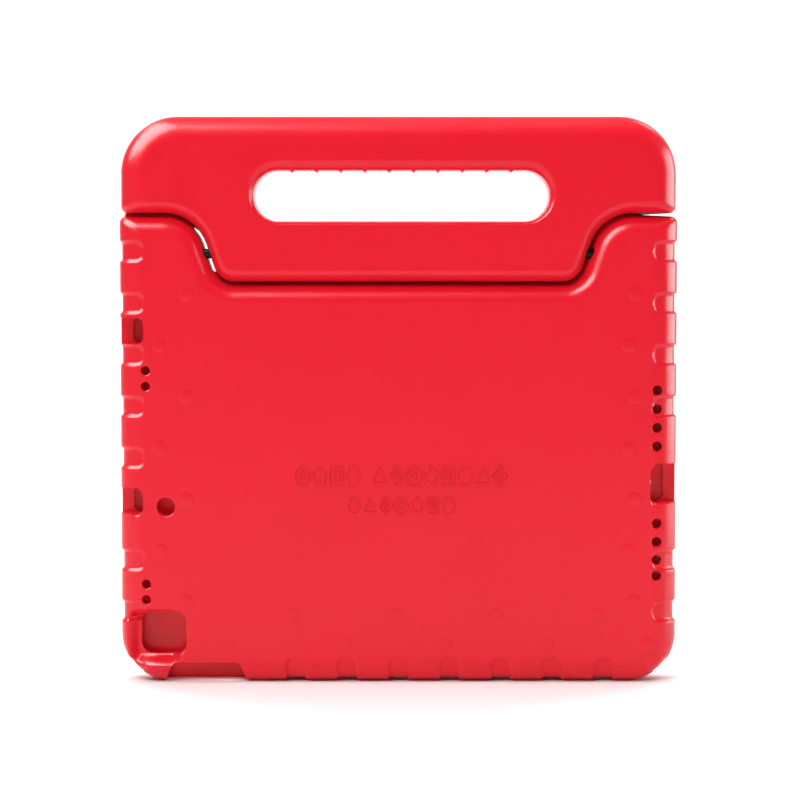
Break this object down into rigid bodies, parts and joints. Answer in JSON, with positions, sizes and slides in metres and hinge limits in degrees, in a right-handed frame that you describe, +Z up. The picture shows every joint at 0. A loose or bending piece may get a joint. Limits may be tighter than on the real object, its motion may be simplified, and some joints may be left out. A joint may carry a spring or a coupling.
{
  "type": "tablet case",
  "caption": "Thick foam tablet case with a grip-slot handle that folds back on two pins as a stand, with grip notches and port cut-outs.",
  "frame": {"origin": "middle of the case's footprint at its bottom edge, halfway through its thickness", "axes": "+Z up towards the handle as the case hangs from it, +Y out of the screen side, -Y out of the back of the case, +X to the right as seen from the back"},
  "size_m": [0.258, 0.026, 0.262],
  "materials": {
    "red_foam": "satin moulded foam skin",
    "black_plastic": "matt",
    "black_steel": "blackened, satin",
    "spring_steel": "bright",
    "black_rubber": "matt",
    "aluminium": "drawn tube"
  },
  "bodies": {
    "case": {"foam_body": "red_foam", "ear_socket_left": "black_plastic", "ear_socket_right": "black_plastic", "hinge_pin_left": "black_steel", "hinge_pin_right": "black_steel", "retaining_ring_left": "spring_steel", "retaining_ring_right": "spring_steel"},
    "handle": {"foam_handle": "red_foam", "handle_core_tube": "aluminium", "handle_bush_left": "black_plastic", "handle_bush_right": "black_plastic", "friction_ring_left": "black_rubber", "friction_ring_right": "black_rubber"}
  },
  "joints": [
    {"name": "handle_hinge", "type": "hinge", "parent": "case", "child": "handle", "pos_m": [0, -0.0055, 0.1988], "axis": [1, 0, 0], "range_deg": [0, 115]}
  ]
}
